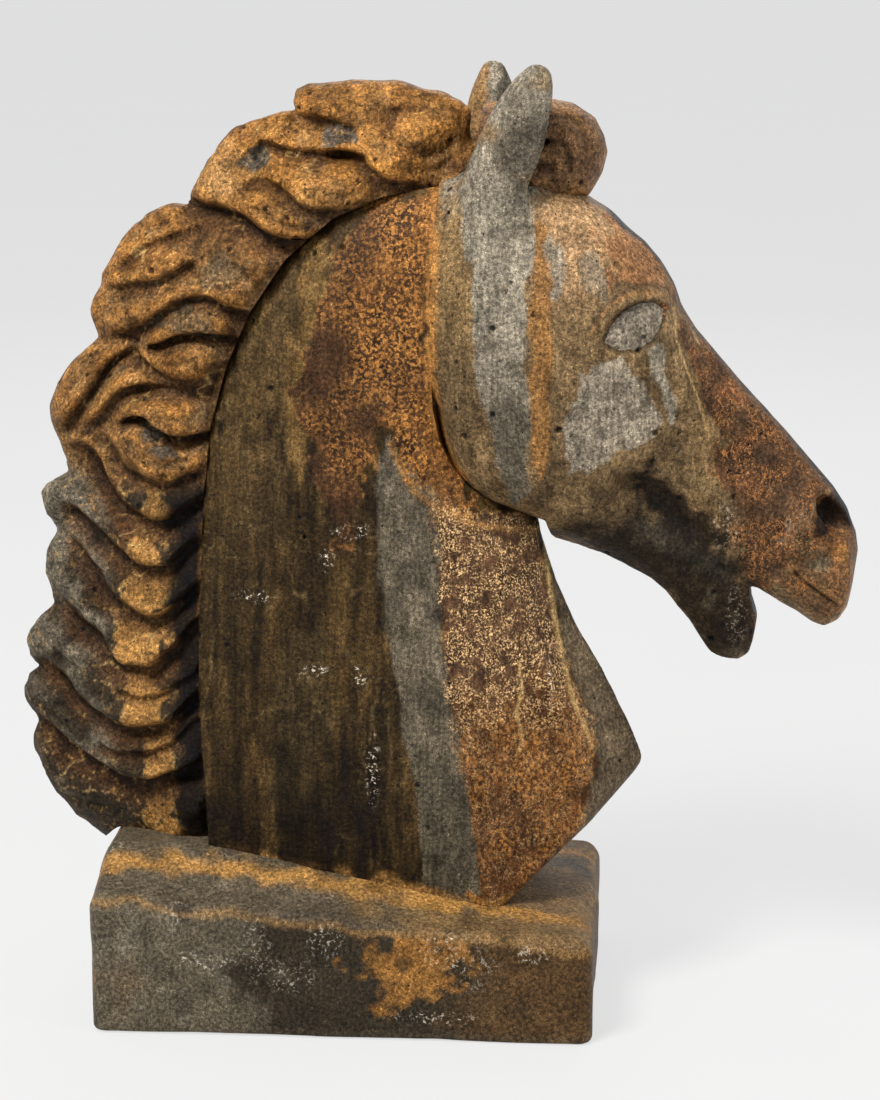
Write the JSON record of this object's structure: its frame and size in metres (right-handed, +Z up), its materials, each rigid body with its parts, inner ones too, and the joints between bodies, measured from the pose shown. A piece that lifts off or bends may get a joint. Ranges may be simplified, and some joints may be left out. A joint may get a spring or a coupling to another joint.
{
  "type": "giant chess knight, garden ornament",
  "caption": "Giant chess knight: a horse's head and neck with a heavy waved mane, cast in patinated concrete on a rectangular plinth.",
  "frame": {"origin": "centre of the plinth's underside", "axes": "+X the way the horse looks, +Y to the horse's left, +Z up"},
  "size_m": [0.5385, 0.21, 0.6078],
  "materials": {
    "body_concrete": "matt cast concrete, pitted, with brown and grey weathering stain in vertical streaks",
    "mane_concrete": "matt cast concrete, pitted, with orange-brown stain on the ridges and grey on the lower wings",
    "plinth_concrete": "matt cast concrete, pitted and scuffed, grey to dark brown",
    "reinforcing_steel": "hot-rolled bar, lightly rusted"
  },
  "bodies": {
    "root": {"plinth": "plinth_concrete", "neck": "body_concrete", "head": "body_concrete", "ear_right": "body_concrete", "ear_left": "body_concrete", "eye_right": "body_concrete", "eye_left": "body_concrete", "forelock": "mane_concrete", "mane_crest": "mane_concrete", "mane_middle": "mane_concrete", "mane_fall": "mane_concrete", "rear_bar": "reinforcing_steel", "front_bar": "reinforcing_steel", "stirrup_low": "reinforcing_steel", "stirrup_mid": "reinforcing_steel", "stirrup_high": "reinforcing_steel", "plinth_bar_right": "reinforcing_steel", "plinth_bar_left": "reinforcing_steel", "ear_pin_right": "reinforcing_steel", "ear_pin_left": "reinforcing_steel", "mane_pin_crest": "reinforcing_steel", "mane_pin_middle": "reinforcing_steel", "mane_pin_fall": "reinforcing_steel"}
  },
  "joints": []
}
